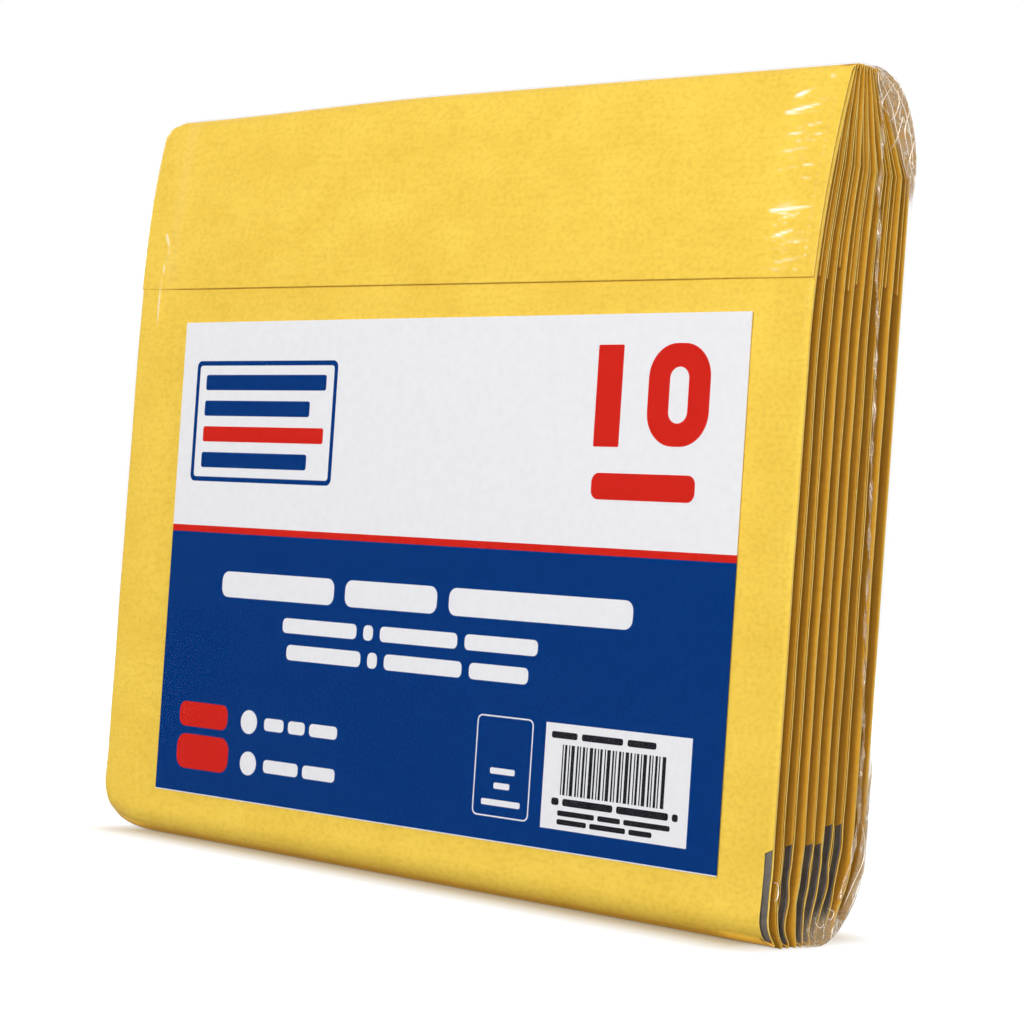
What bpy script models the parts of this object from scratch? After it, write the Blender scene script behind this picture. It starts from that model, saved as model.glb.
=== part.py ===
"""Retail pack of padded envelopes: kraft sheets with bubble linings, a label card and a clear shrink film.

Metres, +Z up. The pack stands on its flat base, X runs along its width, and the labelled front faces -Y.
"""

import math

import bmesh
import bpy
import numpy as np
from mathutils import Matrix, Vector

# Envelopes
ENVELOPE_COUNT = 10
ENVELOPE_WIDTH = 0.2000
ENVELOPE_HEIGHT = 0.1750
ENVELOPE_PITCH = 0.00326
PAPER = 0.00020
FLAP_LENGTH = 0.0440
MOUTH_DROP = 0.0080
SEAM_WIDTH = 0.0100
PAD_RAMP = 0.0055
CLEARANCE = 0.00015
FOLD_CLEARANCE = 0.00050

# Bubble lining, and how high it shows at the right foot corner of each envelope, from the front
LINING_AT_SEAM = 0.00020
LINING_FOOT = 0.0022
LINING_BELOW_MOUTH = 0.0010
LINING_INSET = 0.0003
PAD_INSET = 0.0010
NOTCH_WIDTH = 0.0018
NOTCH_HEIGHTS = (0.0193, 0, 0.0198, 0, 0.0200, 0.0202, 0.0235, 0.0240, 0, 0)

# Peel strips
STRIP_THICKNESS = 0.00010
STRIP_WIDTH = 0.0160
STRIP_ABOVE_EDGE = 0.0035
STRIP_END_INSET = 0.0030

# How the stack bends at its foot and its crown
FOOT_BEND_FRONT = 0.0035
FOOT_BEND_FRONT_HEIGHT = 0.0140
FOOT_BEND_REAR = 0.0080
FOOT_BEND_REAR_HEIGHT = 0.0220
LEAN_BELOW_TOP = 0.0600
LEAN_FRONT = 0.0096
KINK_BELOW_TOP = 0.0240
LEAN_REAR = 0.0135
FOOT_ROWS = (0.0, 0.25, 0.55, 1.0)
FOLD_ROWS = (0.75, 0.25)
FOLD_PASSES = 4

# Label card
LABEL_WIDTH = 0.1690
LABEL_HEIGHT = 0.1115
LABEL_THICKNESS = 0.00020
LABEL_CENTRE_X = 0.0025
LABEL_CENTRE_Z = 0.0678
LABEL_TURN = math.radians(0.5)
LABEL_STRIPE_ABOVE_FOOT = 0.0622
LABEL_STRIPE_HEIGHT = 0.0014

# Shrink film
FILM = 0.00010
FILM_FOOT_RADIUS = 0.0070
FILM_FOOT_SEGMENTS = 5
FILM_REAR_FOOT_DEPTH = 0.0136
FILM_REAR_FOOT_HEIGHT = 0.0170
FILM_REAR_FOOT_POWER = 1.7
FILM_REAR_FOOT_SEGMENTS = 6
FILM_SHOULDER_DROP = 0.0044
FILM_SHOULDER_WIDTH = 0.0044
FILM_SHOULDER_SEGMENTS = 4
FILM_CROWN_WIDTH = 0.0055
FILM_REAR_SHOULDER_HEIGHT = 0.0200
FILM_REAR_SHOULDER_SEGMENTS = 8
FILM_BULGE = 0.0010
FILM_BULGE_HEIGHT = 0.0200
VENT_RADIUS = 0.0025
VENT_SPACING = 0.1200
VENT_HEIGHT = 0.1000
VENT_SIDES = 12
SHARP_ANGLE = math.radians(40)

HALF_WIDTH = ENVELOPE_WIDTH / 2
STACK_INSET = FILM + CLEARANCE
STACK_DEPTH = ENVELOPE_COUNT * ENVELOPE_PITCH
FILM_REAR = STACK_DEPTH + 2 * STACK_INSET
PACK_DEPTH = FILM_REAR + FILM_BULGE
PACK_HEIGHT = ENVELOPE_HEIGHT + 2 * STACK_INSET
LEAN_START = ENVELOPE_HEIGHT - LEAN_BELOW_TOP
KINK_HEIGHT = ENVELOPE_HEIGHT - KINK_BELOW_TOP
FLAP_EDGE = ENVELOPE_HEIGHT - FLAP_LENGTH
MOUTH = ENVELOPE_HEIGHT - MOUTH_DROP
LINING_HEAD = MOUTH - LINING_BELOW_MOUTH

# Layers of one envelope: distances from the front of its slot to the middle of each layer
FLAP_LAYER = CLEARANCE + PAPER / 2
STRIP_LAYER = FLAP_LAYER + PAPER / 2 + CLEARANCE + STRIP_THICKNESS / 2
FRONT_LAYER = STRIP_LAYER + STRIP_THICKNESS / 2 + CLEARANCE + PAPER / 2
LINING_FACE = FRONT_LAYER + PAPER / 2 + CLEARANCE
SEAM_BACK_LAYER = LINING_FACE + LINING_AT_SEAM + CLEARANCE + PAPER / 2


def front_curve(z):
    """Depth of the stack's front behind the pack's front plane."""
    foot = max(0.0, 1 - z / FOOT_BEND_FRONT_HEIGHT)
    lean = max(0.0, (z - LEAN_START) / LEAN_BELOW_TOP)
    return STACK_INSET + FOOT_BEND_FRONT * foot**2 + LEAN_FRONT * lean**2


def rear_curve(z):
    """Depth of the stack's rear: it kinks forward below the crown and tucks under at the foot."""
    foot = max(0.0, 1 - z / FOOT_BEND_REAR_HEIGHT)
    lean = max(0.0, (z - KINK_HEIGHT) / KINK_BELOW_TOP)
    return STACK_INSET + STACK_DEPTH - FOOT_BEND_REAR * foot**2 - LEAN_REAR * lean


def stations():
    """Heights at which every sheet has a row of points, so that neighbours bend at the same places."""
    foot = [share * FOOT_BEND_REAR_HEIGHT for share in FOOT_ROWS]
    top = [LEAN_START, FLAP_EDGE, (FLAP_EDGE + KINK_HEIGHT) / 2, KINK_HEIGHT]
    return sorted(foot + top + [LINING_HEAD, ENVELOPE_HEIGHT])


STATIONS = stations()


def front_depth(z):
    return float(np.interp(z, STATIONS, [front_curve(s) for s in STATIONS]))


def rear_depth(z):
    return float(np.interp(z, STATIONS, [rear_curve(s) for s in STATIONS]))


def slot_width(z):
    return (rear_depth(z) - front_depth(z)) / ENVELOPE_COUNT


def slot_front(index, z):
    return front_depth(z) + index * slot_width(z)


def back_layer(x, z, inset=0.0):
    """Where the back ply lies: close behind the front ply in the seams, at the slot's rear over the pad."""
    full = slot_width(z) - PAPER / 2
    seam = min(SEAM_BACK_LAYER, full)
    pad = min(1.0, max(0.0, (HALF_WIDTH - SEAM_WIDTH - inset - abs(x)) / PAD_RAMP))
    return seam + (full - seam) * pad


def columns(left, right, inset=0.0):
    """Places across the width where a sheet has points: its ends and both edges of each pad ramp."""
    seam = HALF_WIDTH - SEAM_WIDTH - inset
    pad = seam - PAD_RAMP
    return [-left, -seam, -pad, pad, seam, right]


def arc(centre, radii, start, end, count, power=2.0):
    """Points of an arc in depth and height, by angle in degrees: an ellipse, or flatter below power 2."""
    points = []
    for i in range(count + 1):
        angle = math.radians(start + (end - start) * i / count)
        across = math.copysign(abs(math.cos(angle)) ** (2 / power), math.cos(angle))
        up = math.copysign(abs(math.sin(angle)) ** (2 / power), math.sin(angle))
        points.append((centre[0] + radii[0] * across, centre[1] + radii[1] * up))
    return points


def film_foot():
    """The film's underside from front to rear: an arc, a flat base and a longer curve."""
    front = (FILM_FOOT_RADIUS, FILM_FOOT_RADIUS)
    rear = (FILM_REAR_FOOT_DEPTH, FILM_REAR_FOOT_HEIGHT)
    centre = (FILM_REAR - rear[0], rear[1])
    rear_arc = arc(centre, rear, 270, 360, FILM_REAR_FOOT_SEGMENTS, FILM_REAR_FOOT_POWER)
    return arc(front, front, 180, 270, FILM_FOOT_SEGMENTS) + rear_arc


def film_crown():
    """The film's top from front to rear: a small front shoulder, a narrow crown and a long rear shoulder."""
    shoulder = PACK_HEIGHT - FILM_SHOULDER_DROP
    start = front_depth(shoulder) - STACK_INSET + FILM_SHOULDER_WIDTH
    end = start + FILM_CROWN_WIDTH
    front = (FILM_SHOULDER_WIDTH, FILM_SHOULDER_DROP)
    rear = (PACK_DEPTH - end, FILM_REAR_SHOULDER_HEIGHT)
    front_arc = arc((start, shoulder), front, 180, 90, FILM_SHOULDER_SEGMENTS)
    return front_arc + arc((end, PACK_HEIGHT - rear[1]), rear, 90, 0, FILM_REAR_SHOULDER_SEGMENTS)


def height_on(outline, depth):
    return float(np.interp(depth, [point[0] for point in outline], [point[1] for point in outline]))


def fold_top(index):
    """Height of an envelope's top fold, just under the film."""
    near = slot_front(index, ENVELOPE_HEIGHT)
    outline = film_crown()
    height = min(height_on(outline, near), height_on(outline, near + slot_width(ENVELOPE_HEIGHT)))
    return height - FOLD_CLEARANCE


def fold_foot(index):
    """Height of an envelope's bottom fold, just above the film."""
    outline = film_foot()
    height = 0.0
    for _ in range(FOLD_PASSES):
        near = slot_front(index, height) + FRONT_LAYER - PAPER / 2
        far = slot_front(index, height) + slot_width(height)
        height = max(height_on(outline, near), height_on(outline, far)) + FOLD_CLEARANCE
    return height


def place(x, depth, z):
    return Vector((x, depth - PACK_DEPTH / 2, z))


def new_object(name, bm, materials):
    mesh = bpy.data.meshes.new(name)
    bmesh.ops.recalc_face_normals(bm, faces=bm.faces)
    bm.to_mesh(mesh)
    bm.free()
    for material in materials:
        mesh.materials.append(material)
    obj = bpy.data.objects.new(name, mesh)
    bpy.context.scene.collection.objects.link(obj)
    return obj


def new_material(name, colour, roughness, alpha=1.0):
    material = bpy.data.materials.new(name)
    material.use_nodes = True
    shader = material.node_tree.nodes["Principled BSDF"]
    shader.inputs["Base Color"].default_value = (*colour, 1)
    shader.inputs["Roughness"].default_value = roughness
    shader.inputs["Metallic"].default_value = 0.0
    shader.inputs["Alpha"].default_value = alpha
    return material


def grid(bm, rows):
    """Joins rows of points by triangles, all split the same way, and returns the rows of vertices."""
    made = [[bm.verts.new(point) for point in row] for row in rows]
    for upper, lower in zip(made, made[1:]):
        for i in range(len(upper) - 1):
            bm.faces.new((upper[i], upper[i + 1], lower[i + 1]))
            bm.faces.new((upper[i], lower[i + 1], lower[i]))
    return made


def thicken(obj, thickness, offset=0, even=False):
    solidify = obj.modifiers.new("thickness", "SOLIDIFY")
    solidify.thickness = thickness
    solidify.offset = offset
    solidify.use_even_offset = even


def sheet_rows(index):
    """Rows of one folded sheet, from the flap's free edge over the back and the foot up to the mouth."""
    top = fold_top(index)
    foot = fold_foot(index)
    notch_top = NOTCH_HEIGHTS[index % len(NOTCH_HEIGHTS)]

    def row(layer, z, right=HALF_WIDTH):
        return [place(x, slot_front(index, z) + layer(x, z), z) for x in columns(HALF_WIDTH, right)]

    def ply_gap(x, z):
        return back_layer(x, z) - FRONT_LAYER

    def flap(_, z):
        return FLAP_LAYER

    def front(_, z):
        return FRONT_LAYER

    def fold(share):
        return lambda x, z: FRONT_LAYER + share * ply_gap(x, z)

    def front_row(z):
        return row(front, z, HALF_WIDTH - NOTCH_WIDTH if z <= notch_top else HALF_WIDTH)

    bend = foot + ply_gap(0, foot) / 2
    back = [z for z in STATIONS if bend + PAPER < z < top - PAPER]
    notch = [z for z in (notch_top, notch_top + PAPER) if notch_top > bend]
    rows = [row(flap, z) for z in back if z >= FLAP_EDGE]
    rows += [row(flap, top), row(back_layer, top)]
    rows += [row(back_layer, z) for z in reversed(back)]
    rows += [row(back_layer, bend)] + [row(fold(share), foot) for share in FOLD_ROWS]
    rows += [front_row(z) for z in sorted([bend, MOUTH] + notch + back) if z <= MOUTH]
    return rows


def make_envelope(index, kraft):
    bm = bmesh.new()
    grid(bm, sheet_rows(index))
    envelope = new_object(f"envelope_{index + 1:02d}", bm, [kraft])
    thicken(envelope, PAPER)
    return envelope


def make_lining(index, grey):
    """The two bubble layers inside one envelope, pressed flat: thick in the middle, thin in the seams."""
    foot = fold_foot(index) + LINING_FOOT
    heights = [z for z in reversed(STATIONS) if foot < z <= LINING_HEAD] + [foot]
    half = HALF_WIDTH - LINING_INSET
    xs = columns(half, half, PAD_INSET)
    bm = bmesh.new()
    face_rows = [[place(x, slot_front(index, z) + LINING_FACE, z) for x in xs] for z in heights]
    front = grid(bm, face_rows)

    def rear_point(x, z):
        behind = back_layer(x, z, PAD_INSET) - PAPER / 2 - CLEARANCE
        return place(x, slot_front(index, z) + behind, z)

    back = grid(bm, [[rear_point(x, z) for x in xs] for z in heights])
    join_rims(bm, front, back)
    return new_object(f"bubble_lining_{index + 1:02d}", bm, [grey])


def rim(rows):
    """The vertices round a grid's edge, in order."""
    left = [row[0] for row in rows]
    right = [row[-1] for row in rows]
    return rows[0] + right[1:-1] + rows[-1][::-1] + left[-2:0:-1]


def join_rims(bm, front, back):
    near = rim(front)
    far = rim(back)
    for i in range(len(near)):
        bm.faces.new((near[i - 1], near[i], far[i], far[i - 1]))


def make_strip(index, liner):
    """The liner that covers the glue inside the flap."""
    low = FLAP_EDGE + STRIP_ABOVE_EDGE
    high = low + STRIP_WIDTH
    half = HALF_WIDTH - STRIP_END_INSET
    heights = [low] + [z for z in STATIONS if low < z < high] + [high]
    rows = [
        [place(x, slot_front(index, z) + STRIP_LAYER, z) for x in (-half, half)] for z in heights
    ]
    bm = bmesh.new()
    grid(bm, rows)
    strip = new_object(f"peel_strip_{index + 1:02d}", bm, [liner])
    thicken(strip, STRIP_THICKNESS)
    return strip


def make_label(white, red, blue):
    """A flat card in front of the first envelope: a white field, a red stripe and a blue field."""
    half = LABEL_WIDTH / 2
    low = -LABEL_HEIGHT / 2
    stripe = low + LABEL_STRIPE_ABOVE_FOOT
    heights = (low, stripe, stripe + LABEL_STRIPE_HEIGHT, low + LABEL_HEIGHT)
    depth = STACK_INSET + FRONT_LAYER - PAPER / 2 - CLEARANCE - LABEL_THICKNESS / 2
    turn = Matrix.Rotation(-LABEL_TURN, 4, "Y")
    bm = bmesh.new()
    grid(bm, [[Vector((x, 0, z)) for x in (-half, half)] for z in heights])
    bm.faces.ensure_lookup_table()
    for face in bm.faces:
        height = face.calc_center_median().z
        face.material_index = sum(height < edge for edge in heights[1:3])
    label = new_object("label_card", bm, [white, red, blue])
    label.matrix_world = Matrix.Translation(place(LABEL_CENTRE_X, depth, LABEL_CENTRE_Z)) @ turn
    thicken(label, LABEL_THICKNESS)
    return label


def film_outline():
    """The film's outer section, from its foot up the rear, over the crown and down the front."""
    top = film_crown()
    lean = [(front_depth(z) - STACK_INSET, z) for z in STATIONS if LEAN_START <= z < top[0][1]]
    below_bulge = (FILM_REAR, top[-1][1] - FILM_BULGE_HEIGHT)
    return film_foot() + [below_bulge] + top[::-1] + lean[::-1]


def make_film(clear):
    """Clear film drawn tight round the stack, with two vent holes through its rear wall."""
    half = HALF_WIDTH + STACK_INSET
    outline = film_outline()
    bm = bmesh.new()
    sides = [[bm.verts.new(place(x, depth, z)) for depth, z in outline] for x in (-half, half)]
    for i in range(len(outline)):
        bm.faces.new((sides[0][i - 1], sides[0][i], sides[1][i], sides[1][i - 1]))
    bm.faces.new(sides[0])
    bm.faces.new(sides[1])
    film = new_object("shrink_film", bm, [clear])
    film.data.shade_smooth()
    film.data.set_sharp_from_angle(angle=SHARP_ANGLE)
    thicken(film, FILM, -1, even=True)
    for name, x in (("left_vent_cutter", -VENT_SPACING / 2), ("right_vent_cutter", VENT_SPACING / 2)):
        vent = film.modifiers.new(name, "BOOLEAN")
        vent.operation = "DIFFERENCE"
        vent.solver = "EXACT"
        vent.object = make_vent_cutter(name, x)
    return film


def make_vent_cutter(name, x):
    bm = bmesh.new()
    bmesh.ops.create_cone(
        bm,
        cap_ends=True,
        segments=VENT_SIDES,
        radius1=VENT_RADIUS,
        radius2=VENT_RADIUS,
        depth=2 * STACK_INSET + 2 * FILM,
    )
    cutter = new_object(name, bm, [])
    standing = Matrix.Rotation(math.radians(90), 4, "X")
    cutter.matrix_world = Matrix.Translation(place(x, FILM_REAR, VENT_HEIGHT)) @ standing
    cutter.hide_render = True
    cutter.display_type = "WIRE"
    return cutter


def clear_scene():
    for obj in list(bpy.data.objects):
        bpy.data.objects.remove(obj, do_unlink=True)


def build_pack():
    clear_scene()
    kraft = new_material("kraft_paper", (0.93, 0.64, 0.09), 0.75)
    grey = new_material("bubble_film_grey", (0.09, 0.08, 0.075), 0.45)
    liner = new_material("peel_strip_white", (0.85, 0.85, 0.82), 0.4)
    white = new_material("label_white", (0.84, 0.84, 0.86), 0.5)
    red = new_material("label_red", (0.64, 0.02, 0.012), 0.5)
    blue = new_material("label_blue", (0.005, 0.04, 0.18), 0.5)
    clear = new_material("clear_film", (1.0, 1.0, 1.0), 0.1, 0.15)
    for index in range(ENVELOPE_COUNT):
        make_envelope(index, kraft)
        make_lining(index, grey)
        make_strip(index, liner)
    make_label(white, red, blue)
    make_film(clear)


build_pack()
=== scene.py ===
"""Looks of the pack: kraft envelopes with bubble linings, a printed card and a clear shrink film.

Lengths are metres in the frame's own axes: X along the width, -Y to the labelled front, +Z up.
A depth is counted backwards from the pack's front plane.
"""

import math

import bpy
import numpy as np
from mathutils import Matrix, Vector


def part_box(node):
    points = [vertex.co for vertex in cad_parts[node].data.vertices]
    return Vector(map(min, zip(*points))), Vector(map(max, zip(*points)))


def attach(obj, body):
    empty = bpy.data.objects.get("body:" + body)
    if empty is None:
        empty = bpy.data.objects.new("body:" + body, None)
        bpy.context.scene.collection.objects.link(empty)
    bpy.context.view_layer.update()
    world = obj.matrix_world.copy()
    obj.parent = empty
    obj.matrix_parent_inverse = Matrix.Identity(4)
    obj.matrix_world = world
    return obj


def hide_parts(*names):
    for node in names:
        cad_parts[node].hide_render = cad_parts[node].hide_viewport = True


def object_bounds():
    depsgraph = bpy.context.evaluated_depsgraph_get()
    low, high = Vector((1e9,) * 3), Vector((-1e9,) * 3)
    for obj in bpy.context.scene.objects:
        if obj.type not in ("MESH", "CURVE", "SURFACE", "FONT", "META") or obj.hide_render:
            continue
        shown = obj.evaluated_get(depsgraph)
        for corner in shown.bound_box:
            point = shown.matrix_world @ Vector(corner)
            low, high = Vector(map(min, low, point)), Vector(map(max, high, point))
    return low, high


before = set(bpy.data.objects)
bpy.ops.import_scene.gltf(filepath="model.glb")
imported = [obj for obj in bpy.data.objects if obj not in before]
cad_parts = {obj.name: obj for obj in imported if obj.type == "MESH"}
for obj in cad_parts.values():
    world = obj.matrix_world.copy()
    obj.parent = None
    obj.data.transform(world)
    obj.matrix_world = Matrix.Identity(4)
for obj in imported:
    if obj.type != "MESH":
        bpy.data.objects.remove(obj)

CAD_LOW, CAD_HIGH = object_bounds()
MM = 0.001

# Stack of envelopes, as the solids have it
ENVELOPE_COUNT = sum(name.startswith("envelope_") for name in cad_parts)
HALF_WIDTH = 100 * MM
HEIGHT = 175 * MM
PITCH = 3.26 * MM
PAPER = 0.20 * MM
STACK_INSET = 0.25 * MM
STACK_DEPTH = ENVELOPE_COUNT * PITCH
FLAP_EDGE = 131 * MM
MOUTH = 167 * MM
MOUTH_RISE = 6 * MM
LINING_HEAD = 166 * MM
SEAM = 10 * MM
PAD_RAMP = 5.5 * MM
TOP_CLEARANCE = 0.85 * MM
FOOT_CLEARANCE = 0.12 * MM
FLAP_LAYER = 0.25 * MM
FLAP_GAP = 0.08 * MM
FRONT_LAYER = 0.85 * MM
LINING_FACE = 1.10 * MM
SEAM_BACK_LAYER = 1.55 * MM
LINING_INSET = 0.30 * MM
LINING_ABOVE_FOLD = 0.80 * MM
LINING_GAP = 0.12 * MM
LINER = 0.05 * MM
LINER_LOW = 134.5 * MM
LINER_HIGH = 150.5 * MM
LINER_HALF_WIDTH = 97 * MM

# How the stack bends
FOOT_BEND_FRONT = 3.5 * MM
FOOT_BEND_FRONT_HEIGHT = 14 * MM
FOOT_BEND_REAR = 8.0 * MM
FOOT_BEND_REAR_HEIGHT = 22 * MM
LEAN_BELOW_TOP = 60 * MM
LEAN_FRONT = 9.6 * MM
LEAN_SHARE_MIDDLE = 0.76
LEAN_SHARE_TO_END = 0.28
KINK_BELOW_TOP = 20.5 * MM
LEAN_REAR = 13.5 * MM
NARROW_SLOT = 0.95 * MM
WIDE_SLOT = 3.26 * MM

# Loose edges of the envelopes
SEAM_SET_BACK = 0.45 * MM
SEAM_SHIFTS = (0, 0, 0.1, 0, 0.1, 0, 0, 0.4, 0.6, 1.5)
FIRST_SHEET_FORWARD = 0.50 * MM
SWELL = 0.62 * MM
PINCH_WIDTH = 0.60 * MM
PINCH_FRONT = 0.24 * MM
PINCH_BACK = 0.25 * MM
NARROWING_START = 95.5 * MM
WAVE_START = 95 * MM
WAVE_UPPER = 0.22 * MM
WAVE_FOOT = 0.75 * MM
WAVE_CALM = 0.35
FLAP_LIFTS = (0.10, 0.55, 1.00, 0.75, 0.45, 0.95, 1.05, 0.60, 0.90, 0.50)
FLAP_ENDS = (0.0, 0.5, 0.3, 3.0, -1.2, 0.4, 1.9, 2.2, 1.0, 0.0)
NOTCH_WIDTH = 1.8 * MM
NOTCH_HEIGHTS = (19.3, 0, 19.8, 0, 20.0, 20.2, 23.5, 24.0, 0, 0)
CORNER_START = 95.0 * MM
CORNER_DROP = 4.4 * MM
CORNER_TURN = 0.98**0.5
END_DROP = 1.7 * MM
FOOT_CORNER_START = 87.0 * MM
FOOT_CORNER_LIFT = 5.0 * MM
GAP_SEEN = 3.0 * MM

# Shrink film
FILM = 0.06 * MM
FILM_HALF_WIDTH = 100.25 * MM
FILM_HEIGHT = 175.5 * MM
FILM_FOOT_RADIUS = 7.0 * MM
FILM_REAR_FOOT_DEPTH = 13.6 * MM
FILM_REAR_FOOT_HEIGHT = 17 * MM
FILM_REAR_FOOT_POWER = 1.7
FILM_SHOULDER = 4.4 * MM
FILM_CROWN = 5.5 * MM
FILM_REAR_SHOULDER = 20 * MM
FILM_BULGE_HEIGHT = 20 * MM
FILM_REAR = STACK_DEPTH + 2 * STACK_INSET
FILM_EDGE_RADIUS = 0.8 * MM
PACK_DEPTH = CAD_HIGH.y - CAD_LOW.y

# Label card
LABEL_CENTRE = (2.5 * MM, 67.8 * MM)
LABEL_TURN = math.radians(0.5)
LABEL_PRINT_LOW = -55.5 * MM
LABEL_STRIPE_LOW = 5.95 * MM
LABEL_STRIPE_HIGH = 7.50 * MM
PRINT_THICKNESS = 0.03 * MM


def smooth(low, high, value):
    share = unit((value - low) / (high - low))
    return share * share * (3 - 2 * share)


def ease(low, high, value):
    """The same between two places in millimetres."""
    return smooth(low * MM, high * MM, value)


def sine(value, length):
    """A sine wave with a length of that many millimetres for each radian."""
    return np.sin(value / (length * MM))


def unit(value):
    return np.clip(value, 0, 1)


def arc(share, power=2):
    """0 at 0 and 1 at 1, along a quarter of a circle or of a squarer curve."""
    return 1 - (1 - share**power) ** (1 / power)


# The stack's shape: every function takes single numbers or whole arrays
def lean_share(x):
    return LEAN_SHARE_MIDDLE + LEAN_SHARE_TO_END * x / HALF_WIDTH


def front_lean(x, z):
    return LEAN_FRONT * lean_share(x) * np.maximum(0, (z - HEIGHT) / LEAN_BELOW_TOP + 1) ** 2


def front_depth(x, z):
    """The stack's front follows the film's round foot, then stays behind it at the folds."""
    foot = FOOT_BEND_FRONT * np.maximum(0, 1 - z / FOOT_BEND_FRONT_HEIGHT) ** 2
    turn = FILM_FOOT_RADIUS * arc(unit(1 - z / FILM_FOOT_RADIUS))
    return STACK_INSET + np.minimum(foot, turn) + front_lean(x, z)


def rear_depth(z):
    foot = np.maximum(0, 1 - z / FOOT_BEND_REAR_HEIGHT)
    lean = np.maximum(0, (z - HEIGHT) / KINK_BELOW_TOP + 1)
    return STACK_INSET + STACK_DEPTH - FOOT_BEND_REAR * foot**2 - LEAN_REAR * lean


def slot_width(x, z):
    return (rear_depth(z) - front_depth(x, z)) / ENVELOPE_COUNT


def slot_front(index, x, z):
    return front_depth(x, z) + index * slot_width(x, z)


def room(x, z):
    """1 where the envelopes lie loose, 0 where they are pressed together at the crown."""
    return unit((slot_width(x, z) - NARROW_SLOT) / (WIDE_SLOT - NARROW_SLOT))


def crown_start(x):
    return front_lean(x, FILM_HEIGHT - FILM_SHOULDER) + FILM_SHOULDER


def crown_height(x, depth):
    """Height of the film's top at a depth."""
    start = crown_start(x)
    end = start + FILM_CROWN
    ahead = unit((start - depth) / FILM_SHOULDER)
    behind = unit((depth - end) / (PACK_DEPTH - end))
    drop = np.where(depth < end, FILM_SHOULDER * arc(ahead), FILM_REAR_SHOULDER * arc(behind))
    return FILM_HEIGHT - drop


def foot_height(depth):
    """Height of the film's underside at a depth."""
    ahead = unit(1 - depth / FILM_FOOT_RADIUS)
    behind = unit((depth - FILM_REAR) / FILM_REAR_FOOT_DEPTH + 1)
    return FILM_FOOT_RADIUS * arc(ahead) + FILM_REAR_FOOT_HEIGHT * arc(behind, FILM_REAR_FOOT_POWER)


def film_front(x, z):
    start = crown_start(x)
    shoulder = unit((z - FILM_HEIGHT) / FILM_SHOULDER + 1)
    foot = unit(1 - z / FILM_FOOT_RADIUS)
    below = front_lean(x, z) + FILM_FOOT_RADIUS * arc(foot)
    return np.where(shoulder > 0, start - FILM_SHOULDER * (1 - arc(shoulder)), below)


def film_rear(x, z):
    end = crown_start(x) + FILM_CROWN
    low = FILM_HEIGHT - FILM_REAR_SHOULDER
    top = unit((z - low) / FILM_REAR_SHOULDER)
    foot = unit(1 - z / FILM_REAR_FOOT_HEIGHT)
    tuck = FILM_REAR_FOOT_DEPTH * arc(foot, FILM_REAR_FOOT_POWER)
    bulge = (PACK_DEPTH - FILM_REAR) * unit((z - low) / FILM_BULGE_HEIGHT + 1)
    crown = end + (PACK_DEPTH - end) * (1 - arc(top))
    return np.where(top > 0, crown, FILM_REAR - tuck + bulge)


def corner_drop(x, z):
    """How far a point of the left end lies below a square one: its top corner sinks and its foot rises."""
    top = unit((-x - CORNER_START) / (FILM_HALF_WIDTH - CORNER_START))
    foot = unit((-x - FOOT_CORNER_START) / (FILM_HALF_WIDTH - FOOT_CORNER_START))
    drop = CORNER_DROP * arc(CORNER_TURN * top) + END_DROP * smooth(10 * MM, CORNER_START, -x)
    lift = FOOT_CORNER_LIFT * arc(CORNER_TURN * foot)
    return drop * smooth(HEIGHT - 30 * MM, HEIGHT, z) - lift * ease(24, 0, z)


def place(x, depth, z):
    """Points in the frame's axes, from arrays of the same shape."""
    x, depth, z = np.broadcast_arrays(x, depth, z)
    return np.stack([x, depth + CAD_LOW.y, z - corner_drop(x, z)], axis=-1)


# Meshes
def add_object(name, data):
    thing = bpy.data.objects.new(name, data)
    bpy.context.scene.collection.objects.link(thing)
    return thing


def new_piece(name, points, faces, materials, nodes=()):
    mesh = bpy.data.meshes.new(name)
    mesh.from_pydata(np.reshape(points, (-1, 3)).tolist(), [], faces)
    mesh.update()
    piece = add_object(name, mesh)
    for material in materials:
        mesh.materials.append(material)
    mesh.shade_smooth()
    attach(piece, "root")
    if nodes:
        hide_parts(*nodes)
    return piece


def set_values(piece, name, values):
    attribute = piece.data.attributes.new(name, "FLOAT", "POINT")
    attribute.data.foreach_set("value", np.asarray(values, np.float32).ravel())


def quads(at):
    """Faces between the points of a grid of point numbers."""
    corners = np.stack([at[:-1, :-1], at[:-1, 1:], at[1:, 1:], at[1:, :-1]], axis=-1)
    return [tuple(face) for face in corners.reshape(-1, 4).tolist()]


def grid_faces(rows, columns, start=0):
    return quads(start + np.arange(rows * columns).reshape(rows, columns))


def thicken(piece, thickness, offset=0, rim_material=0):
    solidify = piece.modifiers.new("thickness", "SOLIDIFY")
    solidify.thickness = thickness
    solidify.offset = offset
    solidify.use_even_offset = False
    solidify.material_offset_rim = rim_material


# Places of rows and columns, close together near the edges
EDGE_COLUMNS = np.array([84.5, 86.5, 88.5, 90, 92, 94, 95.5, 97, 98, 98.8, 99.4, 99.7, 100]) * MM
COLUMNS = np.concatenate([-EDGE_COLUMNS[::-1], np.linspace(-76, 76, 14) * MM, EDGE_COLUMNS])
FOOT_ROWS = np.arange(0.8, 26, 0.9) * MM
MIDDLE_ROWS = np.arange(28, 128, 4) * MM
TOP_ROWS = np.arange(128.5, 174, 2) * MM
HEIGHTS = np.concatenate([FOOT_ROWS, MIDDLE_ROWS, TOP_ROWS])
FOLD_ANGLES = np.radians([18, 54, 90, 126, 162])

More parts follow.
